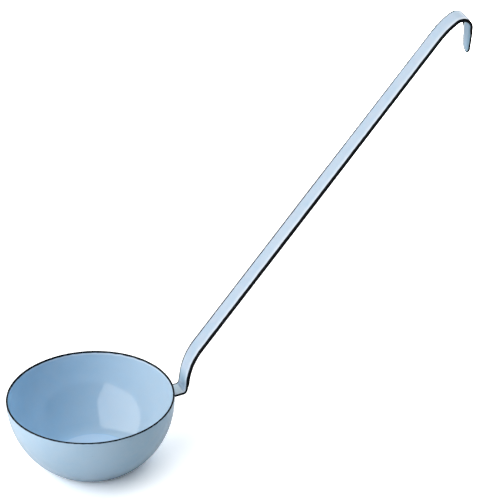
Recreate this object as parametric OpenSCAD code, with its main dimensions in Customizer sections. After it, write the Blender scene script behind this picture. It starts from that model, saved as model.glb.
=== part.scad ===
// Enamelled soup ladle. A deep round bowl with a small flat base is pressed from
// steel sheet. A steel strip, spot-welded to the bowl's side below the rim, rises
// as the handle and ends in a hanging hook. Both are coated with dark ground
// enamel and pale cover enamel, and the cover stops short of every cut edge.
// +Z is up along the bowl's axis, the handle leans towards +X, and the origin is
// the centre of the flat base.

/* [Bowl] */
// Diameter over the pale enamel, at the widest circle
bowl_d = 95; // [78:1:115]
// Diameter of the flat base
base_flat_d = 43.6; // [32:0.2:53]
// Radius of the corner between the base and the side
base_corner_r = 12; // [6:0.5:14.5]
// Thickness of the bowl's steel
bowl_steel = 0.7; // [0.5:0.05:1.2]

/* [Handle strip] */
// Width over the enamel
strip_w = 12; // [9:0.1:15]
// Thickness of the strip's steel
strip_steel = 0.8; // [0.6:0.05:1.2]
// Depth of the turned-down edges along the shaft, over the enamel
flange_d = 1.9; // [1.5:0.05:3]

/* [Foot and tab] */
// Length of the foot that lies on the bowl
foot_l = 16; // [13:0.5:20]
// Drop from the top of the rim to the tab's upper face
tab_drop = 9.7; // [7:0.1:12]
// Reach of the tab from the bowl's widest circle to the neck bend
tab_reach = 6; // [5:0.1:12]
// Radius of the bend between the foot and the tab, on the upper face
root_bend_r = 3; // [2:0.1:4]
// Diameter of a spot weld
weld_d = 3.5; // [2:0.1:5]
// Depth of a spot weld, half in each sheet
weld_depth = 0.6; // [0.3:0.05:0.8]
// Distance between the two spot welds
weld_pitch = 6; // [5:0.5:8]

/* [Handle bends] */
// Radius of the bend between the tab and the neck, on the front face
neck_bend_r = 1.9; // [1.2:0.1:4]
// Slope of the neck
neck_a = 82.5; // [70:0.5:90]
// Length of the straight neck, where the turned-down edges grow
neck_l = 4; // [2:0.5:10]
// Radius of the sweep from the neck into the shaft
sweep_r = 37; // [20:1:60]
// Slope of the shaft
shaft_a = 47.2; // [35:0.2:60]
// Length of the straight shaft
shaft_l = 222; // [150:1:280]
// Radius of the long sweep into the hook
hook_sweep_r = 47; // [30:1:80]
// Angle of the long sweep into the hook
hook_sweep_a = 17.5; // [10:0.5:25]
// Radius of the hook's crown, on the outer face
crown_r = 6.8; // [5:0.1:12]
// Angle by which the hook's leg leans back towards the shaft
leg_back_a = 7; // [0:0.5:15]
// Length of the hook's leg
leg_l = 17.8; // [14:0.2:24]
// Width of the leg's round tip
leg_tip_w = 9; // [6:0.1:10]
// Length over which the turned-down edges run out on the leg
run_out_l = 6; // [3:0.5:8]

/* [Enamel] */
// Thickness of the dark ground coat
ground_t = 0.08; // [0.05:0.01:0.12]
// Thickness of the pale cover coat
cover_t = 0.1; // [0.06:0.01:0.15]
// Height of the dark bead below the rounded lip of the rim
rim_bead_h = 0.4; // [0.2:0.1:3]
// Thickness of the dark bead round the rim, which stands proud of the cover coats
rim_bead_t = 0.18; // [0.15:0.01:0.3]
// Width of the dark bead beside the handle's front face
edge_bead_w = 0.7; // [0.6:0.05:1.5]
// Width of the enamel that pools round the foot
pool_w = 0.8; // [0.4:0.1:1.5]
// Thickness of the enamel that pools round the foot
pool_t = 0.25; // [0.1:0.05:0.5]

/* [Hidden] */
$fn = 96;
steel_colour = "slategray";
ground_colour = "midnightblue";
bead_colour = "black";
cover_colour = "lightsteelblue";

coat_t = ground_t + cover_t;
bowl_r = bowl_d / 2;
base_r = base_flat_d / 2;
wall_t = bowl_steel + 2 * coat_t;
strip_t = strip_steel + 2 * coat_t;
far = 2 * bowl_r;
// How far the parts of the bowl's filled profile overlap
overlap = 1;
// The lip is drawn with few sides, so that its thin layers keep an even thickness
lip_sides = 12;

// The sphere of the bowl's side and the base corner share a tangent at corner_a
centre_h = base_corner_r + sqrt((bowl_r - base_corner_r) ^ 2 - base_r ^ 2);
corner_a = acos(base_r / (bowl_r - base_corner_r));
rim_proud = rim_bead_t - cover_t;
rim_h = centre_h + wall_t / 2 + rim_proud;

// Radius of the bowl's bare steel, where the foot is welded. The foot's front face line
// lies deeper, so that most of its width is dished to the bowl. Its edges stand off by
// foot_lift, which enamel fills.
foot_lift = 0.1;
seat_r = bowl_r - coat_t;
foot_line_r = sqrt(seat_r ^ 2 - (strip_w / 2) ^ 2) + foot_lift;
// The foot leaves the bowl at root_a, and its round end is centred on foot_end_a. The
// foot is drawn from beyond that end, by foot_spare times the end's radius.
foot_spare = 1.2;
tab_below_centre = tab_drop - (rim_h - centre_h);
root_a = -asin((tab_below_centre + root_bend_r) / (foot_line_r + root_bend_r));
foot_end_a = root_a - (foot_l - strip_w / 2) / foot_line_r * 180 / PI;
foot_start_a = foot_end_a - foot_spare * strip_w / 2 / foot_line_r * 180 / PI;
tab_l = bowl_r + tab_reach - (foot_line_r + root_bend_r) * cos(root_a);
weld_pitch_a = weld_pitch / seat_r * 180 / PI;
// In the root bend, the front face leaves the bowl's outside after leave_a. The foot's
// print on the bowl is foot_run long from the centre of its round end.
root_centre_r = foot_line_r + root_bend_r;
leave_a = acos((root_centre_r ^ 2 + root_bend_r ^ 2 - bowl_r ^ 2) / (2 * root_centre_r * root_bend_r));
foot_run = bowl_r * sin(root_a - foot_end_a) + root_bend_r * sin(leave_a);

// The strip from the foot to the tip, as its front face line in the XZ plane. Each
// stretch has a turn, where + is towards the front face, the radius of that
// turn, the length of a straight, and the form of its section.
stretches = [
    [root_a - foot_start_a, foot_line_r, 0, "flat"],
    [-90 - root_a, root_bend_r, 0, "flat"],
    [0, 0, tab_l, "flat"],
    [neck_a, neck_bend_r, 0, "flat"],
    [0, 0, neck_l, "growing"],
    [shaft_a - neck_a, sweep_r, 0, "channel"],
    [0, 0, shaft_l, "channel"],
    [-hook_sweep_a, hook_sweep_r, 0, "channel"],
    [hook_sweep_a - shaft_a - 90 - leg_back_a, crown_r, 0, "channel"],
    [0, 0, run_out_l, "fading"],
    [0, 0, leg_l - run_out_l, "flat"]
];
FOOT = 0;
ROOT = 1;
GROWING = 4;
RUN_OUT = 9;
TIP = 10;

// A pose is [x, z, direction] on the front face line
start_pose = [foot_line_r * cos(foot_start_a), centre_h + foot_line_r * sin(foot_start_a),
              foot_start_a + 90];
function left(a) = [-sin(a), cos(a)];
function turned(x, a, turn, r) = x + sign(turn) * r * (left(a) - left(a + turn));
function moved(x, a, l) = x + l * [cos(a), sin(a)];
function end_point(p, s) = s[0] == 0 ? moved([p[0], p[1]], p[2], s[2])
                                     : turned([p[0], p[1]], p[2], s[0], s[1]);
function next_pose(p, s) = [each end_point(p, s), p[2] + s[0]];
function pose_at(i) = i == 0 ? start_pose : next_pose(pose_at(i - 1), stretches[i - 1]);

// A station is a pose with the strip's depth there, at a share t of stretch i. Bends
// have a station every few degrees, and stations(first, last) lists them all.
arc_step = 3;
hollow_over = 0.5;
function part_of(s, t) = [t * s[0], s[1], t * s[2]];
function growth(form, t) = form == "flat" ? 0 : form == "growing" ? t : form == "fading" ? 1 - t : 1;
function depth(i, t) = strip_t + growth(stretches[i][3], t) * (flange_d - strip_t);
function station(i, t) = [each next_pose(pose_at(i), part_of(stretches[i], t)), depth(i, t)];
function steps(i) = max(1, ceil(abs(stretches[i][0]) / arc_step));
function stations(first, last) = [for (i = [first : last], k = [0 : steps(i) - 1]) station(i, k / steps(i)),
                                  station(last, 1)];
function at_height(s, h) = [s[0], s[1]] + h * left(s[2]);

// Filled half profile of the bowl, inset from its outside. The corner's circle touches
// the side's circle from within, so its whole disc belongs to the bowl.
module bowl_body(inset) {
    intersection() {
        translate([0, centre_h]) circle(bowl_r - inset);
        polygon([[0, centre_h], [base_r, base_corner_r],
                 [base_r, base_corner_r] + far * [cos(corner_a), -sin(corner_a)], [far, centre_h]]);
    }
    translate([base_r, base_corner_r]) circle(base_corner_r - inset);
    polygon([[0, inset], [base_r, inset], [base_r, base_corner_r + overlap], [0, centre_h]]);
}

// Half profile of the bowl's wall with its round lip, inset from both faces
module bowl_wall(inset) {
    difference() {
        bowl_body(inset);
        bowl_body(wall_t - inset);
    }
    translate([bowl_r - wall_t / 2, centre_h]) circle(wall_t / 2 - inset, $fn = lip_sides);
}

// Half profile of the outermost layer, where the cover coats lie
module cover_layer() {
    difference() {
        bowl_wall(0);
        bowl_wall(cover_t);
    }
}

// Everything in the half plane between two heights
module height_band(low, high) {
    translate([0, low]) square([far, high - low]);
}

// Side view of a ribbon along stations, between two heights at each
module ribbon(places, tops, lows) {
    last = len(places) - 1;
    polygon([for (k = [0 : last]) at_height(places[k], tops[k]),
             for (k = [last : -1 : 0]) at_height(places[k], lows[k])]);
}

// Side view of the strip with its turned-down edges, inset from its outside
module strip_side(inset) {
    places = stations(FOOT, TIP);
    ribbon(places, [for (s = places) -inset], [for (s = places) inset - s[3]]);
}

// Side view of the hollow between the turned-down edges
module strip_hollow(inset) {
    places = stations(GROWING, RUN_OUT);
    ribbon(places, [for (s = places) inset - strip_t], [for (s = places) -flange_d - hollow_over]);
}

// Side view across a width, centred on the handle's plane
module across(w) {
    translate([0, 0, -w / 2]) linear_extrude(w) children();
}

// Places the children at an angle on the bowl's side: x points out of the bowl
module on_bowl(a) {
    translate([0, centre_h, 0]) rotate(a) children();
}

// What the foot's round end leaves out
module foot_end_cut(inset) {
    on_bowl(foot_end_a) difference() {
        translate([0, -far, -strip_w]) cube([far, far, 2 * strip_w]);
        rotate([0, 90, 0]) cylinder(h = 2 * far, r = strip_w / 2 - inset);
    }
}

// What the leg leaves out as it narrows to its round tip
module leg_cut(inset) {
    p = pose_at(RUN_OUT);
    tip_r = leg_tip_w / 2;
    tip_x = leg_l - tip_r;
    side_a = acos(tip_r / norm([tip_x, strip_w / 2])) - atan2(tip_x, strip_w / 2);
    start_y = strip_w / 2 - inset / cos(side_a);
    touch = [tip_x, 0] + (tip_r - inset) * [sin(side_a), cos(side_a)];
    translate([p[0], p[1]]) rotate(p[2]) rotate([90, 0, 0]) translate([0, 0, -flange_d])
        linear_extrude(3 * flange_d) difference() {
            translate([0, -strip_w]) square([leg_l + strip_w, 2 * strip_w]);
            translate([tip_x, 0]) circle(tip_r - inset);
            polygon([[0, start_y], touch, [touch[0], -touch[1]], [0, -start_y]]);
        }
}

// Solid of the whole strip, inset from its enamelled outside
module strip_body(inset) {
    difference() {
        across(strip_w - 2 * inset) strip_side(inset);
        across(strip_w - 2 * (strip_t - inset)) strip_hollow(inset);
        foot_end_cut(inset);
        leg_cut(inset);
    }
}

// Layer on one face of the strip, from a stretch to the tip: low and high are
// heights over the front face, and inset is the distance from the edges
module strip_layer(first, low, high, inset) {
    places = stations(first, TIP);
    difference() {
        across(strip_w - 2 * inset)
            ribbon(places, [for (s = places) high], [for (s = places) low]);
        foot_end_cut(inset);
        leg_cut(inset);
    }
}

module face_layer() {
    strip_layer(ROOT, -cover_t, 0, edge_bead_w);
}

module back_layer() {
    strip_layer(FOOT, -strip_t, cover_t - strip_t, strip_t);
}

// Turns what is drawn in the handle's plane upright
module upright() {
    rotate([90, 0, 0]) children();
}

// Handle pieces, trimmed to a sphere of the bowl
module seated(r) {
    upright() difference() {
        children();
        translate([0, centre_h, 0]) sphere(r);
    }
}

// The foot's print on the bowl's side, with a margin round it, as a solid outwards
module foot_print(margin) {
    half = strip_w / 2 + margin;
    on_bowl(foot_end_a) {
        rotate([0, 90, 0]) cylinder(h = far, r = half);
        translate([0, 0, -half]) cube([far, foot_run, 2 * half]);
    }
}

module weld_discs() {
    for (i = [0, 1]) on_bowl(foot_end_a + i * weld_pitch_a)
        translate([seat_r - weld_depth / 2, 0, 0]) rotate([0, 90, 0])
            cylinder(h = weld_depth, d = weld_d);
}

module bowl_pressing() {
    color(steel_colour) difference() {
        rotate_extrude() bowl_wall(coat_t);
        upright() weld_discs();
    }
}

module bowl_ground_coat() {
    color(ground_colour) difference() {
        rotate_extrude() difference() {
            bowl_wall(cover_t);
            bowl_wall(coat_t);
        }
        seated(bowl_r - wall_t / 2) foot_print(0);
    }
}

module bowl_lining() {
    color(cover_colour) rotate_extrude() intersection() {
        cover_layer();
        bowl_body(wall_t / 2);
        height_band(0, centre_h - rim_bead_h);
    }
}

module bowl_outer_coat() {
    color(cover_colour) difference() {
        rotate_extrude() difference() {
            intersection() {
                cover_layer();
                height_band(0, centre_h - rim_bead_h);
            }
            bowl_body(wall_t / 2);
            square([base_r, wall_t]);
        }
        seated(bowl_r - wall_t / 2) foot_print(0);
    }
}

module base_coat() {
    color(cover_colour) cylinder(h = cover_t, r = base_r);
}

module rim_bead() {
    color(bead_colour) rotate_extrude() difference() {
        intersection() {
            bowl_wall(-rim_proud);
            height_band(centre_h - rim_bead_h, rim_h);
        }
        bowl_wall(cover_t);
    }
}

module handle_strip() {
    color(steel_colour) difference() {
        seated(seat_r) strip_body(coat_t);
        upright() weld_discs();
    }
}

module handle_ground_coat() {
    color(ground_colour) seated(seat_r) difference() {
        strip_body(cover_t);
        strip_body(coat_t);
    }
}

module handle_face_coat() {
    color(cover_colour) seated(seat_r) face_layer();
}

module handle_back_coat() {
    color(cover_colour) upright() back_layer();
}

module handle_edge_bead() {
    color(bead_colour) seated(seat_r) difference() {
        strip_body(0);
        strip_body(cover_t);
        face_layer();
        back_layer();
    }
}

module spot_welds() {
    color(steel_colour) upright() weld_discs();
}

// Enamel on the bowl's side round the foot
module joint_enamel() {
    color(bead_colour) seated(bowl_r) difference() {
        intersection() {
            translate([0, centre_h, 0]) sphere(bowl_r + pool_t);
            foot_print(pool_w);
        }
        foot_print(0);
    }
}

bowl_pressing();
bowl_ground_coat();
bowl_lining();
bowl_outer_coat();
base_coat();
rim_bead();
handle_strip();
handle_ground_coat();
handle_face_coat();
handle_back_coat();
handle_edge_bead();
spot_welds();
joint_enamel();
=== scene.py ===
# Looks of the enamelled soup ladle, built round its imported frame. Lengths are in
# millimetres until a mesh, a light or a camera is made, and angles are in degrees. A turn
# is a share of the whole way round, from 0 to 1.
import math
import random
import bmesh
import bpy
import numpy as np
from mathutils import Matrix, Vector


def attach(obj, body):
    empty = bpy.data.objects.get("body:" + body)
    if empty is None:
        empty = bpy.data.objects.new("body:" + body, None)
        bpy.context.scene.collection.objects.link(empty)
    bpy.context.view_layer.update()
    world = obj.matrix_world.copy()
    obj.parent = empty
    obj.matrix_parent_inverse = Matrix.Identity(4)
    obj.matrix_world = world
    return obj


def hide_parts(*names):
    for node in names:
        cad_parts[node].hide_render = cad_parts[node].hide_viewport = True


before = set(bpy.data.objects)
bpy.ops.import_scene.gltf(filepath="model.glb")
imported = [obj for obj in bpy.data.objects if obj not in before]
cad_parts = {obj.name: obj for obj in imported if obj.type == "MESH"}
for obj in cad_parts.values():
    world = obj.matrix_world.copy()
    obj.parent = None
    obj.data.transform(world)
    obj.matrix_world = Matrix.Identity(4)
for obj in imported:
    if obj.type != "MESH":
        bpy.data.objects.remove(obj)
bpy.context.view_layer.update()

MM = 0.001
# Points nearer than this are one point, in metres
SAME_POINT = 1e-7
# The meshes are marked with the distance from a border, up to this
MARK_FAR = 10
# Number of waves that sway a border
WAVES = 8

# Bowl: radius at its widest circle, radius of the flat base, radius of the corner between
# base and side, and thickness of the steel
BOWL_R = 47.5
BASE_R = 21.8
CORNER_R = 12.0
BOWL_STEEL = 0.7
# Number of rows of a skin round the bowl, and steps of the wall's profile in degrees
TURNS = 540
CORNER_STEP_A = 1
SIDE_STEP_A = 0.5
LIP_STEP_A = 6

# Thickness of the dark ground enamel and of the pale cover enamel over it
GROUND_T = 0.08
COVER_T = 0.1
COAT_T = GROUND_T + COVER_T
WALL_T = BOWL_STEEL + 2 * COAT_T
# Depths in the enamel of the two faces of each layer
COVER_DEPTHS = (0, COVER_T)
GROUND_DEPTHS = (COVER_T, COAT_T)

# The dark bead over the lip of the rim: how far it stands proud at most, and the share by
# which that sways round the rim
BEAD_PROUD = 0.08
BEAD_SWELL = 0.25
# Angles round the lip's section at which the bead ends outside and inside, how far they
# sway, how much further in it reaches on one side of the rim, and where that side is
BEAD_OUT_A = 14
BEAD_IN_A = 200
BEAD_SWAY_A = 9
BEAD_FAR_A = 16
BEAD_FAR_AT = 135

# Dark enamel round the foot: its width, the share by which that sways, and its height
POOL_W = 0.8
POOL_SWAY = 0.2
POOL_H = 0.4

# Handle strip over its enamel: width, thickness, and depth with its edges turned down
STRIP_W = 12.0
STRIP_STEEL = 0.8
STRIP_T = STRIP_STEEL + 2 * COAT_T
FLANGE_D = 1.9

# Foot on the bowl, how far its edges stand off, bend, and tab, which lies below the rim and
# reaches out to the neck
FOOT_L = 16.0
FOOT_LIFT = 0.1
ROOT_BEND_R = 3.0
TAB_DROP = 9.7
TAB_REACH = 6.0

# Neck, sweep into the shaft, shaft, long sweep into the hook, crown and leg of the hook
NECK_BEND_R = 1.9
NECK_A = 82.5
NECK_L = 4.0
SWEEP_R = 37.0
SHAFT_A = 47.2
SHAFT_L = 222.0
HOOK_SWEEP_R = 47.0
HOOK_SWEEP_A = 17.5
CROWN_R = 6.8
LEG_BACK_A = 7.0
LEG_L = 17.8
LEG_TIP_W = 9.0
RUN_OUT_L = 6.0

# Section of the strip: how far its front is crowned, and the radii of its front
# shoulders, its low corners and the corners of its hollow. The flat values are for the
# foot, the tab and the tip.
FRONT_CROWN = 0.16
FLAT_CROWN = 0.04
SHOULDER_R = 0.85
FLAT_SHOULDER_R = 0.52
LOW_R = 0.42
INNER_R = 0.35
SECTION_STEPS = 12
# On the foot, depths in the enamel are divided by this, where it is squeezed thin
SQUEEZE = 10

# Where the pale cover ends on the strip. On the near side that is a share of the
# shoulder's arc beyond its start, or short of it if below zero. On the far side it is a
# width short of the shoulder, and on the flat back a width in from the low corner.
NEAR_SHARE = -0.1
FAR_EDGE = 0.62
BACK_EDGE = 0.25
EDGE_SWAY = 0.07
# Patch on the far side of the crown where the dark edge enamel reaches further in, a
# painted dark reflection: its place as a share of the bend, half its length, and its width
PATCH_AT = 0.6
PATCH_HALF_L = 2.4
PATCH_W = 0.8

# Spacing of the rows along the strip, the finer one where the section changes and in bends
# below this radius, and the number of rows round an end
STEP = 1.5
STEP_FINE = 0.4
TIGHT_R = 10
TIP_FAN = 24

# Columns of each skin from its first border on: the share of the width at which a stretch
# of them ends, and their number there
OUTSIDE_COLUMNS = ((0.3, 24), (0.97, 48), (1, 12))
LINING_COLUMNS = ((0.03, 14), (0.6, 42), (0.72, 22), (1, 8))
RIM_COLUMNS = ((1, 16),)
BASE_COLUMNS = ((0.9, 8), (1, 4))
FACE_COLUMNS = ((0.8, 12), (1, 14))
EDGE_COLUMNS = ((1, 28),)
BACK_COLUMNS = ((0.25, 8), (1, 10))
GROUND_COLUMNS = ((1, 48),)
CORE_COLUMNS = ((1, 40),)
POOL_COLUMNS = ((1, 10),)

# The tone of the cover is 0 where its colour is plain. Above zero it turns to a paler
# colour, as painted light on the tab and the bowl's floor, and below zero to another one, as
# painted shade above the neck's bend. Each tone of the strip is followed by the length over
# which it fades, and the neck's before that by how far past the bend's start it is strongest.
TAB_TONE = 1.0
TAB_FADE_L = 1.5
NECK_TONE = 0.55
NECK_TONE_AT = 7.0
NECK_FADE_L = 7.5
# Tone on the bowl's floor, painted light that makes it paler, the width of its edge, the tone
# taken off inside towards one side of the rim, painted light that makes that lit side of the
# wall duller, and the angle of that side
FLOOR_TONE = 0.3
FLOOR_EDGE_W = 0.6
SIDE_TONE = 0.26
SIDE_AT = -15
# Places round the outside where painted light makes the cover a little paler and painted
# shade a little deeper: angle, half width and tone
OUT_TONES = [(185, 75, 0.12), (292, 45, -0.16)]
# Angle of the side of the rim where the lining beside the bead is palest, as painted light,
# and the least share of that all round
PALE_AT = 40
PALE_LEAST = 0.25
# Places on the rim where the cover is chipped or ran short: angle, half width, and the
# degrees round the lip's section by which the bead reaches further
CHIPS_IN = [(139, 2.2, 45), (128, 1.6, 25), (171, 1.2, 18), (63, 1.0, 14), (-34, 1.3, 16)]
CHIPS_OUT = [(-98, 0.8, -14), (-61, 1.2, -12), (150, 2.0, -20)]

# Camera, from the photograph: its pixels to the millimetre and the place of the
# rim's centre in the picture
PHOTO_W, PHOTO_H = 482, 500
PX_PER_MM = 1.782
RIM_PX = (90.22, 396.75)
AZIMUTH = -21.2
ELEVATION = 32.54
ROLL = 2.58
CAMERA_FAR = 6000.0
SENSOR_W = 36
# The camera sees what lies between these two distances, in metres
CLIP_NEAR, CLIP_FAR = 0.1, 100

# Centre of the bowl's side, the angle where the side meets the corner, and the top of
# the rim
CENTRE_H = CORNER_R + math.sqrt((BOWL_R - CORNER_R) ** 2 - BASE_R ** 2)
CORNER_A = math.degrees(math.acos(BASE_R / (BOWL_R - CORNER_R)))
RIM_H = CENTRE_H + WALL_T / 2 + BEAD_PROUD
# Radius of the bowl's bare steel, radius and angles of the foot that lies on it, and
# length of the flat tab
SEAT_R = BOWL_R - COAT_T
FOOT_R = math.sqrt(SEAT_R ** 2 - (STRIP_W / 2) ** 2) + FOOT_LIFT
ROOT_A = -math.degrees(math.asin((TAB_DROP - RIM_H + CENTRE_H + ROOT_BEND_R) / (FOOT_R + ROOT_BEND_R)))
FOOT_END_A = ROOT_A - math.degrees((FOOT_L - STRIP_W / 2) / FOOT_R)
FOOT_START_A = FOOT_END_A - math.degrees(STRIP_W / 2 / FOOT_R)
TAB_L = BOWL_R + TAB_REACH - (FOOT_R + ROOT_BEND_R) * math.cos(math.radians(ROOT_A))

# The strip from its foot to its tip: turn in degrees, radius, length and form of the
# section of each stretch, and the numbers of some of them
STRETCHES = [
    (ROOT_A - FOOT_START_A, FOOT_R, 0, "flat"),
    (-90 - ROOT_A, ROOT_BEND_R, 0, "flat"),
    (0, 0, TAB_L, "flat"),
    (NECK_A, NECK_BEND_R, 0, "flat"),
    (0, 0, NECK_L, "growing"),
    (SHAFT_A - NECK_A, SWEEP_R, 0, "channel"),
    (0, 0, SHAFT_L, "channel"),
    (-HOOK_SWEEP_A, HOOK_SWEEP_R, 0, "channel"),
    (HOOK_SWEEP_A - SHAFT_A - 90 - LEG_BACK_A, CROWN_R, 0, "channel"),
    (0, 0, RUN_OUT_L, "fading"),
    (0, 0, LEG_L - RUN_OUT_L, "flat"),
]
ROOT_BEND = 1
TAB = 2
NECK_BEND = 3
HOOK_BEND = 8
LEG = 9


def deg(angle):
    """An angle in degrees as radians."""
    return math.radians(angle)


def smooth(t):
    """0 up to 0, 1 from 1 on, and an even rise between them."""
    t = min(1.0, max(0.0, t))
    return t * t * (3 - 2 * t)


def nothing(*where):
    """A height, a mark or a border that is zero everywhere."""
    return 0.0


def wobble(seed, fewest, most):
    """A periodic function of a turn, mostly from -1 to 1, made of a few sine waves that
    have from fewest to most periods in the turn."""
    rng = random.Random(seed)
    parts = [(rng.randint(fewest, most), rng.uniform(0, 2 * math.pi), rng.uniform(0.5, 1))
             for _ in range(WAVES)]
    size = math.sqrt(sum(p[2] ** 2 for p in parts))
    return lambda t: sum(a * math.sin(2 * math.pi * n * t + f) for n, f, a in parts) / size


def view_axes():
    """Right, up and back of the photograph's picture plane."""
    phi, e, r = deg(-AZIMUTH), deg(ELEVATION), deg(ROLL)
    right = Vector((math.cos(phi), -math.sin(phi), 0))
    back = Vector((-math.sin(phi) * math.cos(e), -math.cos(phi) * math.cos(e), math.sin(e)))
    up = back.cross(right)
    return (math.cos(r) * right - math.sin(r) * up, math.sin(r) * right + math.cos(r) * up, back)


def make_camera():
    """The photograph's camera, far off, with the rim's centre at its place in the picture."""
    image_x, image_y, back = view_axes()
    across, upwards = PHOTO_W / 2 - RIM_PX[0], RIM_PX[1] - PHOTO_H / 2
    target = Vector((0, 0, CENTRE_H + WALL_T / 2)) + (across * image_x + upwards * image_y) / PX_PER_MM
    data = bpy.data.cameras.new("camera")
    data.sensor_width = SENSOR_W
    data.lens = data.sensor_width * CAMERA_FAR / (PHOTO_H / PX_PER_MM)
    data.clip_start, data.clip_end = CLIP_NEAR, CLIP_FAR
    camera = bpy.data.objects.new("camera", data)
    axes = Matrix((image_x, image_y, back)).transposed().to_4x4()
    camera.matrix_world = Matrix.Translation((target + CAMERA_FAR * back) * MM) @ axes
    bpy.context.scene.collection.objects.link(camera)
    bpy.context.scene.camera = camera


# Meshes

def grid_faces(rows, cols, start, loop):
    """Quads of a grid of points that is stored row by row, joined end to end if loop."""
    faces = []
    for j in range(rows if loop else rows - 1):
        k = (j + 1) % rows
        for i in range(cols - 1):
            faces.append((start + j * cols + i, start + j * cols + i + 1,
                          start + k * cols + i + 1, start + k * cols + i))
    return faces


def finished(name, mesh, material):
    """The mesh as a piece of the object, with doubled points joined and its faces outwards."""
    shape = bmesh.new()
    shape.from_mesh(mesh)
    bmesh.ops.remove_doubles(shape, verts=shape.verts, dist=SAME_POINT)
    bmesh.ops.dissolve_degenerate(shape, dist=SAME_POINT, edges=shape.edges)
    bmesh.ops.recalc_face_normals(shape, faces=shape.faces)
    shape.to_mesh(mesh)
    shape.free()
    mesh.materials.append(material)
    piece = bpy.data.objects.new(name, mesh)
    bpy.context.scene.collection.objects.link(piece)
    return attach(piece, "root")


def stands_for(packed):
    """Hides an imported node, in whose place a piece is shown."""
    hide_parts(packed)


def skin(name, material, outer, inner, marks, loop=True, walls=(True, True)):
    """A closed skin between two grids of points, whose columns run from one border to the
    other and whose last row meets the first if loop. walls says which borders have a wall,
    and not a seam where the skin meets itself. marks gives a grid of values for each
    attribute that the material reads."""
    rows, cols = len(outer), len(outer[0])
    points = [Vector(p) * MM for grid in (outer, inner) for row in grid for p in row]
    under = rows * cols
    borders = []
    for j in range(rows if loop else rows - 1):
        k = (j + 1) % rows
        if walls[0]:
            borders.append((k * cols, j * cols))
        if walls[1]:
            borders.append((j * cols + cols - 1, k * cols + cols - 1))
    if not loop:
        last = (rows - 1) * cols
        for i in range(cols - 1):
            borders += [(i, i + 1), (last + i + 1, last + i)]
    faces = grid_faces(rows, cols, 0, loop)
    faces += [f[::-1] for f in grid_faces(rows, cols, under, loop)]
    faces += [(b, a, a + under, b + under) for a, b in borders]
    mesh = bpy.data.meshes.new(name)
    mesh.from_pydata(points, [], faces)
    for mark, grid in marks.items():
        values = [v for row in grid for v in row]
        mesh.attributes.new(mark, "FLOAT", "POINT").data.foreach_set("value", values + values)
    mesh.shade_smooth()
    keen = {frozenset(b) for b in borders} | {frozenset((a + under, b + under)) for a, b in borders}
    for edge in mesh.edges:
        edge.use_edge_sharp = frozenset(edge.vertices) in keen
    return finished(name, mesh, material)


def shares(columns):
    """Places from 0 to 1 for the columns of a skin, given as stretches of them."""
    found, start = [0.0], 0.0
    for end, steps in columns:
        found += [start + (end - start) * k / steps for k in range(1, steps + 1)]
        start = end
    return found


def gaps(places, ends):
    """Distance of each place from the nearest end where the cover meets the dark bead."""
    return [min([abs(s - e) for e in ends] + [MARK_FAR]) for s in places]


# Bowl. A place on its wall is measured along the profile from the middle of the base,
# up the outside, over the lip and down the inside to the middle of the floor.

def wall_line():
    """Dense profile of the wall's surface, as rows (radius, height, outward x, outward z)."""
    rows = [(0, 0, 0, -1)]

    def arc(cx, cz, r, first, last, step, side):
        n = math.ceil(abs(last - first) / step)
        for k in range(n + 1):
            a = deg(first + (last - first) * k / n)
            c, s = math.cos(a), math.sin(a)
            rows.append((cx + r * c, cz + r * s, side * c, side * s))

    arc(BASE_R, CORNER_R, CORNER_R, -90, -CORNER_A, CORNER_STEP_A, 1)
    arc(0, CENTRE_H, BOWL_R, -CORNER_A, 0, SIDE_STEP_A, 1)
    arc(BOWL_R - WALL_T / 2, CENTRE_H, WALL_T / 2, 0, 180, LIP_STEP_A, 1)
    arc(0, CENTRE_H, BOWL_R - WALL_T, 0, -CORNER_A, SIDE_STEP_A, -1)
    arc(BASE_R, CORNER_R, CORNER_R - WALL_T, -CORNER_A, -90, CORNER_STEP_A, -1)
    rows.append((0, WALL_T, 0, 1))
    return np.array(rows)


# The profile, the lengths of its points along it, where its round lip starts, and the
# radius of the lip
WALL = wall_line()
WALL_S = np.concatenate([[0], np.cumsum(np.hypot(*np.diff(WALL[:, :2], axis=0).T))])
LIP_START = BASE_R + deg(90 - CORNER_A) * CORNER_R + deg(CORNER_A) * BOWL_R
LIP_R = WALL_T / 2


def on_wall(s, proud):
    """Radius and height at a length along the wall's profile, moved outwards by proud."""
    x, z, nx, nz = (np.interp(s, WALL_S, WALL[:, k]) for k in range(4))
    size = math.hypot(nx, nz)
    return x + proud * nx / size, z + proud * nz / size


def lathe_skin(name, material, first, last, columns, ends=(), walls=(True, True),
               proud=nothing, near=nothing, tone=nothing):
    """A skin of the bowl's wall. first and last give its borders at a turn, as lengths along
    the profile, and ends says which of them meet the dark bead. proud gives its height over
    the wall at a share of its width and a turn. near gives one mark at a turn, and tone the
    other at a length and a turn."""
    outer, inner, marks = [], [], {"gap": [], "near": [], "tone": []}
    across = shares(columns)
    for j in range(TURNS):
        turn = j / TURNS
        a, b = first(turn), last(turn)
        cx, cy = math.cos(2 * math.pi * turn), math.sin(2 * math.pi * turn)
        places = [a + (b - a) * share for share in across]
        tops = [on_wall(s, proud(share, turn)) for s, share in zip(places, across)]
        lows = [on_wall(s, -COVER_T) for s in places]
        outer.append([(r * cx, r * cy, z) for r, z in tops])
        inner.append([(r * cx, r * cy, z) for r, z in lows])
        marks["gap"].append(gaps(places, [(a, b)[k] for k in ends]))
        marks["near"].append([near(turn)] * len(places))
        marks["tone"].append([tone(s, turn) for s in places])
    return skin(name, material, outer, inner, marks, walls=walls)


def bump_at(turn, places):
    """Sum of narrow bumps round the rim, each (angle, half width in degrees, height)."""
    total = 0.0
    for angle, width, height in places:
        off = abs((turn * 360 - angle + 180) % 360 - 180) / width
        total += height * (1 - smooth(off))
    return total


def facing(turn, angle):
    """1 on the side of the bowl at an angle, -1 on the opposite side."""
    return math.cos(2 * math.pi * turn - deg(angle))


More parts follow.
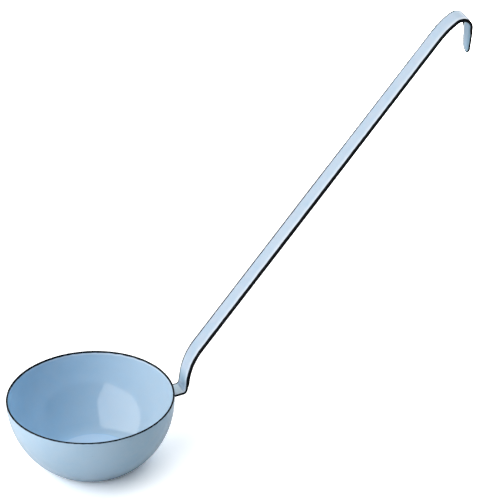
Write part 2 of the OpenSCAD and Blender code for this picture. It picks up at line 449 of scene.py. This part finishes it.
def make_bowl(cover, lining, bead):
    """The layers of enamel on the bowl that show: outside, inside, rim and base."""
    sway_out = wobble(seed=3, fewest=4, most=70)
    sway_in = wobble(seed=4, fewest=4, most=70)
    swell = wobble(seed=5, fewest=3, most=40)

    def bead_out(turn):
        angle = BEAD_OUT_A + BEAD_SWAY_A * sway_out(turn) + bump_at(turn, CHIPS_OUT)
        return LIP_START + LIP_R * deg(angle)

    def bead_in(turn):
        far = BEAD_FAR_A * max(0.0, facing(turn, BEAD_FAR_AT))
        angle = BEAD_IN_A + far + BEAD_SWAY_A * sway_in(turn) + bump_at(turn, CHIPS_IN)
        return LIP_START + LIP_R * deg(angle)

    def bead_proud(share, turn):
        swelling = 1 - BEAD_SWELL + BEAD_SWELL * max(-1, min(1, swell(turn)))
        return BEAD_PROUD * math.sin(math.pi * share) * swelling

    def base_edge(turn):
        return BASE_R

    def wall_end(turn):
        return float(WALL_S[-1])

    # Painted light on one side of the outside and painted shade on another
    def outside_tone(s, turn):
        return bump_at(turn, OUT_TONES)

    # Painted light: paler on the bowl's floor, and duller towards the lit side of the wall
    def inside_tone(s, turn):
        floor = smooth((s - WALL_S[-1] + BASE_R + FLOOR_EDGE_W / 2) / FLOOR_EDGE_W)
        side = SIDE_TONE * (0.5 + 0.5 * facing(turn, SIDE_AT))
        return FLOOR_TONE * floor - side * (1 - floor)

    # Painted light in the lining's fringe beside the bead, strongest on one side
    def paler(turn):
        return PALE_LEAST + (1 - PALE_LEAST) * max(0.0, facing(turn, PALE_AT))

    outside = lathe_skin("bowl_outer_enamel", cover, base_edge, bead_out, OUTSIDE_COLUMNS,
                         ends=(1,), tone=outside_tone)
    inside = lathe_skin("bowl_lining_enamel", lining, bead_in, wall_end, LINING_COLUMNS,
                        ends=(0,), walls=(True, False), near=paler, tone=inside_tone)
    rim = lathe_skin("rim_bead_enamel", bead, bead_out, bead_in, RIM_COLUMNS, proud=bead_proud)
    base = lathe_skin("base_enamel", cover, nothing, base_edge, BASE_COLUMNS, walls=(False, True))
    stands_for("bowl_outer_coat")
    stands_for("bowl_lining")
    stands_for("rim_bead")
    stands_for("base_coat")


# Handle. Its front face line lies in the XZ plane, and a pose is x, z and direction. A
# place on it is measured along that line from the end of the foot to the hook's tip.

def pose_after(pose, turn, radius, length):
    """The pose at the end of a bend, or of a straight stretch where the turn is 0."""
    x, z, a = pose
    b = a + turn
    if turn == 0:
        return x + length * math.cos(deg(a)), z + length * math.sin(deg(a)), a
    side = math.copysign(radius, turn)
    return (x + side * (math.sin(deg(b)) - math.sin(deg(a))),
            z - side * (math.cos(deg(b)) - math.cos(deg(a))), b)


# The pose at the end of the foot, the length and the start of each stretch, and the length
# of the strip
FOOT_START = (FOOT_R * math.cos(deg(FOOT_START_A)), CENTRE_H + FOOT_R * math.sin(deg(FOOT_START_A)),
              FOOT_START_A + 90)
LENGTHS = [s[2] or deg(abs(s[0])) * s[1] for s in STRETCHES]
STARTS = [sum(LENGTHS[:i]) for i in range(len(STRETCHES) + 1)]
STRIP_L = STARTS[-1]


def on_path(at):
    """x, z and direction of the front face line at a place, and the strip's depth there."""
    pose = FOOT_START
    for i, (turn, radius, length, form) in enumerate(STRETCHES):
        if at <= STARTS[i + 1] or i == len(STRETCHES) - 1:
            t = min(1.0, max(0.0, (at - STARTS[i]) / LENGTHS[i]))
            x, z, a = pose_after(pose, t * turn, radius, t * length)
            grown = {"flat": 0, "growing": smooth(t), "channel": 1, "fading": 1 - smooth(t)}[form]
            return x, z, a, STRIP_T + grown * (FLANGE_D - STRIP_T)
        pose = pose_after(pose, turn, radius, length)


# Outline of the unrolled strip, in rows of (centre, edge, y): a place on the middle line,
# the place of the edge that is reached from there, and the y of that edge. The leg's
# straight sides meet its round tip at TOUCH.
TIP_R = LEG_TIP_W / 2
TIP_CENTRE = STRIP_L - TIP_R
FOOT_CENTRE = STRIP_W / 2
LEG_REACH = TIP_CENTRE - STARTS[LEG]
LEG_SIDE_A = math.degrees(math.acos(TIP_R / math.hypot(LEG_REACH, STRIP_W / 2))
                          - math.atan2(LEG_REACH, STRIP_W / 2))
TOUCH = TIP_CENTRE + TIP_R * math.sin(deg(LEG_SIDE_A))
TOUCH_Y = TIP_R * math.cos(deg(LEG_SIDE_A))


def half_width(at):
    """Half the strip's width at a place, which narrows along the leg."""
    if at <= STARTS[LEG]:
        return STRIP_W / 2
    return STRIP_W / 2 + (TOUCH_Y - STRIP_W / 2) * (at - STARTS[LEG]) / (TOUCH - STARTS[LEG])


def row_places(first, last):
    """Places between two, closer together in tight bends and where the section changes."""
    found = []
    for i, (turn, radius, length, form) in enumerate(STRETCHES):
        low, high = max(first, STARTS[i]), min(last, STARTS[i + 1])
        if high - low > SAME_POINT / MM:
            fine = 0 < radius < TIGHT_R or form in ("growing", "fading")
            n = math.ceil((high - low) / (STEP_FINE if fine else STEP))
            found += [low + (high - low) * k / n for k in range(n)]
    return found + [last]


def outline(first):
    """Rows up the near side, round the tip, down the far side and, if first is 0, round the
    foot. The near side has y below zero."""
    near = [(min(at, TIP_CENTRE), at, -half_width(at))
            for at in row_places(max(first, FOOT_CENTRE), TOUCH)]
    reach = 90 - LEG_SIDE_A
    tip = [deg(reach * (2 * k / TIP_FAN - 1)) for k in range(1, TIP_FAN)]
    rows = near + [(TIP_CENTRE, TIP_CENTRE + TIP_R * math.cos(a), TIP_R * math.sin(a)) for a in tip]
    rows += [(centre, edge, -y) for centre, edge, y in reversed(near)]
    if first == 0:
        foot = [deg(90 + 180 * k / TIP_FAN) for k in range(1, TIP_FAN)]
        rows += [(FOOT_CENTRE, FOOT_CENTRE + FOOT_CENTRE * math.cos(a), FOOT_CENTRE * math.sin(a))
                 for a in foot]
    return rows


def turn_of(row):
    """A row's place round the outline, from 0 at the foot's end to 1 back there."""
    share = row[1] / STRIP_L / 2
    return share if row[2] < 0 else 1 - share


def far_share(row):
    """0 on the near side of the strip, 1 on its far side, and between them round its ends."""
    return smooth((row[2] / STRIP_W * 2 + 1) / 2)


def strip_tone(at):
    """Tone of the strip's cover, above zero on the tab, as painted light, and below zero above
    the neck's bend, as painted shade.
    """
    tab = TAB_TONE * smooth((at - STARTS[TAB]) / TAB_FADE_L)
    tab *= 1 - smooth((at - STARTS[NECK_BEND]) / TAB_FADE_L)
    neck = NECK_TONE * (1 - smooth(abs(at - STARTS[NECK_BEND] - NECK_TONE_AT) / NECK_FADE_L))
    return tab - neck * (1 - tab)


def section_of(row):
    """Dense section of the strip at a row, from the middle of the front face round the edge
    to the middle of the back. Its line has points (distance from the edge, height), and
    inward the directions into the strip there."""
    depth = on_path(row[1])[3]
    half = math.hypot(row[1] - row[0], row[2])
    hollow = depth - STRIP_T
    grown = hollow / (FLANGE_D - STRIP_T)
    shoulder = FLAT_SHOULDER_R + grown * (SHOULDER_R - FLAT_SHOULDER_R)
    crown = FLAT_CROWN + grown * (FRONT_CROWN - FLAT_CROWN)
    inner = min(INNER_R, hollow / 2)
    sunk = crown * (1 - shoulder / half) ** 2
    low = min(LOW_R, depth - sunk - shoulder)
    n = SECTION_STEPS
    quarter = [deg(90 * k / n) for k in range(n + 1)]
    # Front face, shoulder, low corner, lip and corner of the hollow, and back face
    pts = [(half - (half - shoulder) * k / n, -sunk * (k / n) ** 2) for k in range(n)]
    pts += [(shoulder * (1 - math.sin(a)), -sunk - shoulder * (1 - math.cos(a))) for a in quarter]
    pts += [(low * (1 - math.cos(a)), low * (1 - math.sin(a)) - depth) for a in quarter]
    corner = len(pts) - 1
    pts += [(STRIP_T - inner * (1 - math.sin(a)), inner * (1 - math.cos(a)) - depth) for a in quarter]
    pts += [(STRIP_T + inner * (1 - math.cos(a)), -STRIP_T - inner * (1 - math.sin(a))) for a in quarter]
    root = len(pts) - 1
    pts += [(STRIP_T + inner + (half - STRIP_T - inner) * k / n, -STRIP_T) for k in range(1, n + 1)]
    keep = [0] + [k for k in range(1, len(pts)) if math.dist(pts[k], pts[k - 1]) > SAME_POINT / MM]
    line = np.array([pts[k] for k in keep])
    along = np.concatenate([[0], np.cumsum(np.hypot(*np.diff(line, axis=0).T))])
    way = np.gradient(line, along, axis=0)
    way /= np.hypot(*way.T)[:, None]
    inward = np.stack([-way[:, 1], way[:, 0]], axis=1)
    inward[0], inward[-1] = (0, -1), (0, 1)

    def length_at(k):
        return along[max(m for m in range(len(keep)) if keep[m] <= k)]

    low_at, root_at = length_at(corner), length_at(root)
    back_at = low_at + BACK_EDGE + grown * (root_at - low_at - BACK_EDGE)
    return {"row": row, "half": half, "along": along, "line": line, "inward": inward, "total": along[-1],
            "shoulder": shoulder, "shoulder_at": length_at(n), "back_at": back_at}


def point_at(section, s, inset):
    """The point at a length s along a section, moved into the strip by inset. On the foot
    it stays outside the bowl's bare steel, where the enamel is squeezed thin."""
    gap, height = (np.interp(s, section["along"], section["line"][:, k])
                   + inset * np.interp(s, section["along"], section["inward"][:, k]) for k in (0, 1))
    centre, edge, y = section["row"]
    share = max(0.0, 1 - gap / section["half"])
    x, z, a, _ = on_path(centre + (edge - centre) * share)
    point = Vector((x - height * math.sin(deg(a)), y * share, z + height * math.cos(deg(a))))
    if edge < STARTS[TAB]:
        middle = Vector((0, 0, CENTRE_H))
        away = point - middle
        seat = SEAT_R + inset / SQUEEZE
        if away.length < seat:
            point = middle + away * (seat / away.length)
    return point


def strip_skin(name, material, sections, borders, columns, depths, ends=(), loop=True, walls=(True, True)):
    """A skin round the strip between two depths. borders gives where it starts and ends on
    a section, as lengths along it, and ends says which of the two meet the dark bead."""
    outer, inner, marks = [], [], {"gap": [], "near": [], "tone": []}
    across = shares(columns)
    for section in sections:
        a, b = borders(section)
        places = [a + (b - a) * share for share in across]
        outer.append([point_at(section, s, depths[0]) for s in places])
        inner.append([point_at(section, s, depths[1]) for s in places])
        marks["gap"].append(gaps(places, [(a, b)[k] for k in ends]))
        marks["near"].append([1 - far_share(section["row"])] * len(places))
        marks["tone"].append([strip_tone(section["row"][1])] * len(places))
    return skin(name, material, outer, inner, marks, loop, walls)


def strip_core(name, material, sections):
    """The bare steel strip, a solid inside the enamel."""
    across = shares(CORE_COLUMNS)
    grid = [[point_at(s, s["total"] * share, COAT_T) for share in across] for s in sections]
    points = [p * MM for row in grid for p in row]
    mesh = bpy.data.meshes.new(name)
    mesh.from_pydata(points, [], grid_faces(len(grid), len(across), 0, True))
    mesh.shade_smooth()
    return finished(name, mesh, material)


def make_handle(front, back, bead, ground, steel):
    """The strip's steel and the layers of enamel round it. The front's cover starts above
    the foot, whose front lies on the bowl."""
    sway_front = wobble(seed=11, fewest=20, most=170)
    sway_back = wobble(seed=12, fewest=20, most=170)
    whole = [section_of(row) for row in outline(0)]
    upper = [section_of(row) for row in outline(STARTS[ROOT_BEND])]
    patch_at = STARTS[HOOK_BEND] + PATCH_AT * LENGTHS[HOOK_BEND]

    def front_border(section):
        row = section["row"]
        near_at = section["shoulder_at"] + NEAR_SHARE * section["shoulder"] * math.pi / 2
        # The far edge's dark enamel reaches further in at the crown's patch, a painted dark reflection
        dark_reach = PATCH_W * (1 - smooth(abs(row[1] - patch_at) / PATCH_HALF_L))
        far_at = section["shoulder_at"] - FAR_EDGE - dark_reach
        return near_at + (far_at - near_at) * far_share(row) + EDGE_SWAY * sway_front(turn_of(row))

    def back_border(section):
        return section["back_at"] + EDGE_SWAY * sway_back(turn_of(section["row"]))

    face = strip_skin("handle_face_enamel", front, upper, lambda s: (0.0, front_border(s)),
                      FACE_COLUMNS, COVER_DEPTHS, ends=(1,), loop=False, walls=(False, True))
    edge = strip_skin("handle_edge_enamel", bead, whole, lambda s: (front_border(s), back_border(s)),
                      EDGE_COLUMNS, COVER_DEPTHS)
    rear = strip_skin("handle_back_enamel", back, whole, lambda s: (back_border(s), s["total"]),
                      BACK_COLUMNS, COVER_DEPTHS, ends=(0,), walls=(True, False))
    under = strip_skin("handle_ground_enamel", ground, whole, lambda s: (0.0, s["total"]),
                       GROUND_COLUMNS, GROUND_DEPTHS, walls=(False, False))
    core = strip_core("handle_steel", steel, whole)
    stands_for("handle_face_coat")
    stands_for("handle_edge_bead")
    stands_for("handle_back_coat")
    stands_for("handle_strip")
    stands_for("handle_ground_coat")


def make_pool(bead):
    """Dark enamel drawn up in a fillet round the foot."""
    sway = wobble(seed=21, fewest=2, most=9)
    outer, inner = [], []
    # From the bend on the far side, round the foot's end, to the bend on the near side
    rows = [row for row in outline(0) if row[1] <= STARTS[ROOT_BEND]]
    rows.sort(key=lambda row: (turn_of(row) + 0.5) % 1)
    for row in rows:
        centre, edge, y = row
        half = math.hypot(edge - centre, y)
        width = POOL_W * (1 + POOL_SWAY * sway(turn_of(row)))
        tops, lows = [], []
        for share in shares(POOL_COLUMNS):
            out = (half - LOW_R + (width + LOW_R) * share) / half
            along = FOOT_START_A + math.degrees((centre + (edge - centre) * out) / FOOT_R)
            rise = POOL_H * (1 - share) ** 2
            for found, r in ((tops, BOWL_R + rise), (lows, BOWL_R - COAT_T / 2)):
                flat = math.sqrt(r ** 2 - (y * out) ** 2)
                found.append((flat * math.cos(deg(along)), y * out, CENTRE_H + flat * math.sin(deg(along))))
        outer.append(tops)
        inner.append(lows)
    pool = skin("joint_pool_enamel", bead, outer, inner, {}, loop=False)
    stands_for("joint_enamel")


# Materials. Scales of textures are per metre, and roughness and strengths have no unit.

COVER = (0.415, 0.605, 0.785, 1)
COVER_DEEP = (0.38, 0.58, 0.77, 1)
COVER_GREY = (0.43, 0.60, 0.765, 1)
# The strip's cover is a greyer copy of it, painted light, and palest on the tab, also
# painted light
STRIP_COVER = (0.515, 0.63, 0.75, 1)
STRIP_DEEP = (0.465, 0.60, 0.74, 1)
STRIP_GREY = (0.555, 0.625, 0.73, 1)
TAB_PAINTED_LIGHT = (0.82, 0.94, 0.99, 1)
# Inside the bowl it is a stronger copy of the cover, painted shade, and duller towards one
# side, where it is mixed with a warm colour as painted light
LINING = (0.388, 0.645, 0.895, 1)
LINING_DEEP = (0.353, 0.62, 0.88, 1)
LINING_GREY = (0.403, 0.635, 0.87, 1)
LINING_LIT_SIDE = (0.82, 0.60, 0.30, 1)
# Paler colour for painted light and painted highlights, and deeper colour for painted shade
PAINTED_LIGHT = (0.86, 0.90, 0.94, 1)
PAINTED_SHADE = (0.13, 0.36, 0.52, 1)
# The dark enamels and the specks in them
BEAD = (0.002, 0.0025, 0.004, 1)
BEAD_SPECK = (0.05, 0.065, 0.09, 1)
GROUND = (0.018, 0.026, 0.048, 1)
GROUND_SPECK = (0.045, 0.06, 0.10, 1)
STEEL_DARK = (0.42, 0.43, 0.45, 1)
STEEL_LIGHT = (0.60, 0.61, 0.62, 1)
WHITE = (1, 1, 1, 1)

# Index of refraction of enamel, and the specular level of the dark ones
ENAMEL_IOR = 1.6
DARK_SPECULAR = 0.06
# The cover thins out over this width beside its border
THIN_W = 0.45
# A paler fringe, a painted highlight, sets in between these distances from the border, and
# fades after this one
FRINGE_START = (0.1, 0.35)
FRINGE_FULL_W = 0.6
# Where painted shade deepens the colour further in, that fades between these distances
DEEP_FADE = (0.6, 4.0)
# Height below which the base is rubbed dull, and how much rougher it is there
RUBBED_H = 0.25
RUBBED_ROUGH = 0.3


def node(tree, kind, inputs=None, **settings):
    """A shader node with its settings, and the values or links of its inputs."""
    made = tree.nodes.new("ShaderNode" + kind)
    for key, value in settings.items():
        setattr(made, key, value)
    for key, value in (inputs or {}).items():
        if isinstance(value, bpy.types.NodeSocket):
            tree.links.new(value, made.inputs[key])
        else:
            made.inputs[key].default_value = value
    return made


def new_material(name):
    """An empty material, its nodes, and the place on the object that its textures use."""
    material = bpy.data.materials.new(name)
    material.use_nodes = True
    tree = material.node_tree
    tree.nodes.clear()
    return material, tree, node(tree, "TexCoord").outputs["Object"]


def noise(tree, place, scale, detail, rough):
    """Cloudy noise, mostly from 0.3 to 0.7."""
    made = node(tree, "TexNoise", {"Vector": place, "Scale": scale, "Detail": detail, "Roughness": rough})
    return made.outputs["Fac"]


def spread(tree, value, old, new=(0, 1)):
    """The value moved from an old range to a new one, and kept within it."""
    made = node(tree, "MapRange", {"Value": value, "From Min": old[0], "From Max": old[1],
                                   "To Min": new[0], "To Max": new[1]})
    return made.outputs["Result"]


def maths(tree, operation, a, b):
    """Two values put together by one operation."""
    return node(tree, "Math", {0: a, 1: b}, operation=operation).outputs[0]


def times(tree, a, b):
    """The product of two values."""
    return maths(tree, "MULTIPLY", a, b)


def blended(tree, factor, a, b):
    """A colour between two, where factor 0 gives the first."""
    return node(tree, "Mix", {0: factor, 6: a, 7: b}, data_type="RGBA").outputs[2]


def marked(tree, name):
    """A value that the mesh is marked with."""
    return node(tree, "Attribute", attribute_name=name).outputs["Fac"]


def surface(tree, shader):
    """Ends the material with a shader."""
    node(tree, "OutputMaterial", {"Surface": shader.outputs[0]})


def cover_enamel(name, cover, deep, grey, fringe_w=1.7, near_pale=0.0, far_pale=0.0,
                 near_deep=0.0, lit_colour=PAINTED_LIGHT, turned=PAINTED_SHADE):
    """Glossy pale enamel, clouded with a deeper and a greyer colour, with pinholes and a thin
    ragged edge to the dark ground. It turns to the colour given for painted light where its
    tone is above zero, and to the turned one below, which is painted shade on the outside and
    the strip and painted light on the lining. A fringe out to fringe_w from the edge, a painted
    highlight, is paler by near_pale where the mark near is 1, and by far_pale where it is 0. By
    near_deep the colour is deepened further in as painted shade, where near is 1."""
    material, tree, place = new_material(name)
    gap, near, tone = (marked(tree, mark) for mark in ("gap", "near", "tone"))
    clouds = spread(tree, noise(tree, place, scale=55, detail=4, rough=0.6), (0.35, 0.65))
    greys = spread(tree, noise(tree, place, scale=210, detail=3, rough=0.55), (0.4, 0.66), (0, 0.6))
    colour = blended(tree, clouds, cover, deep)
    colour = blended(tree, greys, colour, grey)
    cells = node(tree, "TexVoronoi", {"Vector": place, "Scale": 95, "Randomness": 1}).outputs["Distance"]
    pinholes = spread(tree, cells, (0.008, 0.014), (0.6, 0))
    colour = blended(tree, pinholes, colour, GROUND)
    # Painted light where the tone is above zero; below zero painted shade on the outside and the strip, and
    # painted light on the lining
    colour = blended(tree, spread(tree, tone, (0, 1)), colour, lit_colour)
    colour = blended(tree, spread(tree, tone, (-1, 0), (1, 0)), colour, turned)
    # Painted shade deepens the colour towards the near edge
    if near_deep:
        painted_deep = times(tree, spread(tree, gap, DEEP_FADE, (near_deep, 0)), near)
        colour = blended(tree, painted_deep, colour, PAINTED_SHADE)
    # Painted highlight: a paler fringe beside the border
    if near_pale or far_pale:
        fringe = times(tree, spread(tree, gap, FRINGE_START),
                       spread(tree, gap, (FRINGE_FULL_W, fringe_w), (1, 0)))
        strength = spread(tree, near, (0, 1), (far_pale, near_pale))
        colour = blended(tree, times(tree, fringe, strength), colour, PAINTED_LIGHT)
    grain = noise(tree, place, scale=2600, detail=2, rough=0.6)
    ragged = times(tree, maths(tree, "SUBTRACT", grain, 0.5), 0.5)
    thin = maths(tree, "ADD", spread(tree, gap, (0, THIN_W), (1, 0)), ragged)
    colour = blended(tree, spread(tree, thin, (0.35, 1.05), (0, 0.85)), colour, GROUND)
    height = node(tree, "SeparateXYZ", {0: place}).outputs["Z"]
    rubbed = spread(tree, height, (0, RUBBED_H * MM), (1, 0))
    gloss = spread(tree, noise(tree, place, scale=120, detail=3, rough=0.5), (0.3, 0.7), (0.045, 0.085))
    rough = maths(tree, "ADD", gloss, times(tree, rubbed, RUBBED_ROUGH))
    dips = noise(tree, place, scale=170, detail=2, rough=0.4)
    waves = node(tree, "Bump", {"Height": dips, "Strength": 0.05, "Distance": 1 * MM})
    fine = node(tree, "Bump", {"Height": grain, "Strength": 0.04, "Distance": 0.2 * MM,
                               "Normal": waves.outputs["Normal"]})
    surface(tree, node(tree, "BsdfPrincipled", {"Base Color": colour, "Roughness": rough,
                                                "IOR": ENAMEL_IOR, "Normal": fine.outputs["Normal"]}))
    return material


def dark_enamel(name, dark, pale, gloss):
    """Glossy blue-black enamel with paler specks, whose roughness is gloss or up to twice
    that."""
    material, tree, place = new_material(name)
    specks = spread(tree, noise(tree, place, scale=900, detail=3, rough=0.65), (0.56, 0.72), (0, 0.5))
    colour = blended(tree, specks, dark, pale)
    rough = spread(tree, noise(tree, place, scale=260, detail=3, rough=0.5), (0.3, 0.7), (gloss, gloss * 2))
    dips = noise(tree, place, scale=700, detail=3, rough=0.5)
    waves = node(tree, "Bump", {"Height": dips, "Strength": 0.15, "Distance": 0.2 * MM})
    surface(tree, node(tree, "BsdfPrincipled", {"Base Color": colour, "Roughness": rough,
                                                "IOR": ENAMEL_IOR, "Specular IOR Level": DARK_SPECULAR,
                                                "Normal": waves.outputs["Normal"]}))
    return material


def bare_steel():
    """Cold-rolled steel with the faint lines of its rolling along X."""
    material, tree, place = new_material("bare_steel")
    drawn = node(tree, "Mapping", {"Vector": place, "Scale": (60, 2200, 2200)}).outputs[0]
    streaks = noise(tree, drawn, scale=1, detail=4, rough=0.6)
    colour = blended(tree, streaks, STEEL_DARK, STEEL_LIGHT)
    rough = spread(tree, streaks, (0.3, 0.7), (0.25, 0.45))
    bump = node(tree, "Bump", {"Height": streaks, "Strength": 0.2, "Distance": 0.1 * MM})
    surface(tree, node(tree, "BsdfPrincipled", {"Base Color": colour, "Roughness": rough,
                                                "Metallic": 1, "Normal": bump.outputs["Normal"]}))
    return material


# Surroundings

# The key light is a tall soft panel to the left: its upper corner nearest the camera, and
# its two sides from there
PANEL_CORNER = Vector((-812, -1298, 1286))
PANEL_ALONG = Vector((677, 1559, 54))
PANEL_DOWN = Vector((-303, 176, -1276))
PANEL_LEVEL = 2.25
# A second panel hangs high behind the ladle and faces it: its direction, distance, size
# and level
BACK_AZIMUTH = 45
BACK_ELEVATION = 60
BACK_FAR = 1300
BACK_SIZE = (1700, 1000)
BACK_LEVEL = 1.7
# Light from the rest of the room, and from white paper low down behind the ladle, which
# shows in reflections at this share of its level
ROOM_LEVEL = 0.05
PAPER_LEVEL = 4.0
PAPER_AZIMUTH = 45
PAPER_IN_GLOSS = 0.3
# Cosines of the angle from its direction between which the paper sets in, and sines of the
# elevation between which it ends
PAPER_SIDE = (0.35, 0.8)
PAPER_TOP = (0.1, 0.6)
# Half the side of the floor. It lights the object by its own colour, and the camera sees
# the brighter one, which turns plain white between two distances from the bowl.
FLOOR_HALF = 2500
FLOOR_WHITE = (0.70, 0.70, 0.70, 1)
FLOOR_SEEN = (1.6, 1.6, 1.6, 1)
FLOOR_FAR = (8, 8, 8, 1)
FLOOR_FADE = (300, 600)


def make_floor():
    """A pale matt floor that takes the object's soft shadow. The camera sees it brighter,
    so that it is white where no shadow falls, and plain white far from the object."""
    mesh = bpy.data.meshes.new("floor")
    half = FLOOR_HALF * MM
    corners = [(-half, -half, 0), (half, -half, 0), (half, half, 0), (-half, half, 0)]
    mesh.from_pydata(corners, [], [(0, 1, 2, 3)])
    floor = bpy.data.objects.new("floor", mesh)
    bpy.context.scene.collection.objects.link(floor)
    material, tree, place = new_material("floor_white")
    away = node(tree, "VectorMath", {0: place}, operation="LENGTH").outputs["Value"]
    far = spread(tree, away, [distance * MM for distance in FLOOR_FADE])
    seen = blended(tree, far, FLOOR_SEEN, FLOOR_FAR)
    colour = blended(tree, node(tree, "LightPath").outputs["Is Camera Ray"], FLOOR_WHITE, seen)
    surface(tree, node(tree, "BsdfDiffuse", {"Color": colour}))
    mesh.materials.append(material)


def make_world():
    """A dim room with white paper low down behind the ladle, and white for the camera."""
    world = bpy.data.worlds.new("studio")
    world.use_nodes = True
    tree = world.node_tree
    tree.nodes.clear()
    way = node(tree, "TexCoord").outputs["Generated"]
    paper_way = (math.cos(deg(PAPER_AZIMUTH)), math.sin(deg(PAPER_AZIMUTH)), 0)
    ahead = node(tree, "VectorMath", {0: way, 1: paper_way}, operation="DOT_PRODUCT").outputs["Value"]
    height = node(tree, "SeparateXYZ", {0: way}).outputs["Z"]
    rays = node(tree, "LightPath")
    paper = times(tree, spread(tree, ahead, PAPER_SIDE), spread(tree, height, PAPER_TOP, (1, 0)))
    paper = times(tree, paper, spread(tree, rays.outputs["Is Glossy Ray"], (0, 1), (1, PAPER_IN_GLOSS)))
    level = maths(tree, "ADD", times(tree, paper, PAPER_LEVEL - ROOM_LEVEL), ROOM_LEVEL)
    even = node(tree, "Background", {"Color": WHITE, "Strength": level})
    white = node(tree, "Background", {"Color": WHITE, "Strength": 1})
    mixed = node(tree, "MixShader", {0: rays.outputs["Is Camera Ray"],
                                     1: even.outputs[0], 2: white.outputs[0]})
    node(tree, "OutputWorld", {"Surface": mixed.outputs[0]})
    bpy.context.scene.world = world


def make_panel(name, corner, along, down, level):
    """A flat soft light from one corner and two sides, shining level times white."""
    data = bpy.data.lights.new(name, "AREA")
    data.shape = "RECTANGLE"
    data.size, data.size_y = along.length * MM, down.length * MM
    data.energy = level * math.pi * data.size * data.size_y
    lamp = bpy.data.objects.new(name, data)
    lamp.visible_camera = False
    across, upwards = -along.normalized(), -down.normalized()
    back = across.cross(upwards)
    lamp.matrix_world = (Matrix.Translation((corner + along / 2 + down / 2) * MM)
                         @ Matrix((across, upwards, back)).transposed().to_4x4())
    bpy.context.scene.collection.objects.link(lamp)
    return lamp


def make_back_panel():
    """The panel behind the ladle, which doesn't show in reflections."""
    a, e = deg(BACK_AZIMUTH), deg(BACK_ELEVATION)
    way = Vector((math.cos(e) * math.cos(a), math.cos(e) * math.sin(a), math.sin(e)))
    along = Vector((math.sin(a), -math.cos(a), 0)) * BACK_SIZE[0]
    down = way.cross(along).normalized() * BACK_SIZE[1]
    panel = make_panel("back", BACK_FAR * way - along / 2 - down / 2, along, down, BACK_LEVEL)
    panel.visible_glossy = False


make_camera()
enamel = cover_enamel("cover_enamel", COVER, COVER_DEEP, COVER_GREY)
# The lining's fringe beside the bead and its tones are painted light
lining = cover_enamel("lining_enamel", LINING, LINING_DEEP, LINING_GREY, near_pale=0.6,
                      turned=LINING_LIT_SIDE)
# The strip's cover is a greyer copy, painted light, with a painted highlight beside its near edge and
# painted light on the tab
front_enamel = cover_enamel("strip_enamel", STRIP_COVER, STRIP_DEEP, STRIP_GREY, fringe_w=2.8,
                            near_pale=0.5, lit_colour=TAB_PAINTED_LIGHT)
# The back's pale fringe on the far side is a painted highlight, and its deeper colour by the near edge is
# painted shade
back_enamel = cover_enamel("strip_back_enamel", COVER, COVER_DEEP, COVER_GREY, fringe_w=2,
                           far_pale=0.9, near_deep=0.8)
bead_enamel = dark_enamel("bead_enamel", BEAD, BEAD_SPECK, gloss=0.07)
ground_enamel = dark_enamel("ground_enamel", GROUND, GROUND_SPECK, gloss=0.12)
steel = bare_steel()
make_bowl(enamel, lining, bead_enamel)
make_handle(front_enamel, back_enamel, bead_enamel, ground_enamel, steel)
make_pool(bead_enamel)
# The bowl's steel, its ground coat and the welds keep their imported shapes
for name, material in (("bowl_pressing", steel), ("spot_welds", steel),
                       ("bowl_ground_coat", ground_enamel)):
    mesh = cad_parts[name].data
    mesh.materials.clear()
    mesh.materials.append(material)
make_floor()
make_world()
make_panel("key", PANEL_CORNER, PANEL_ALONG, PANEL_DOWN, PANEL_LEVEL)
make_back_panel()
bpy.context.scene.view_settings.view_transform = "Standard"
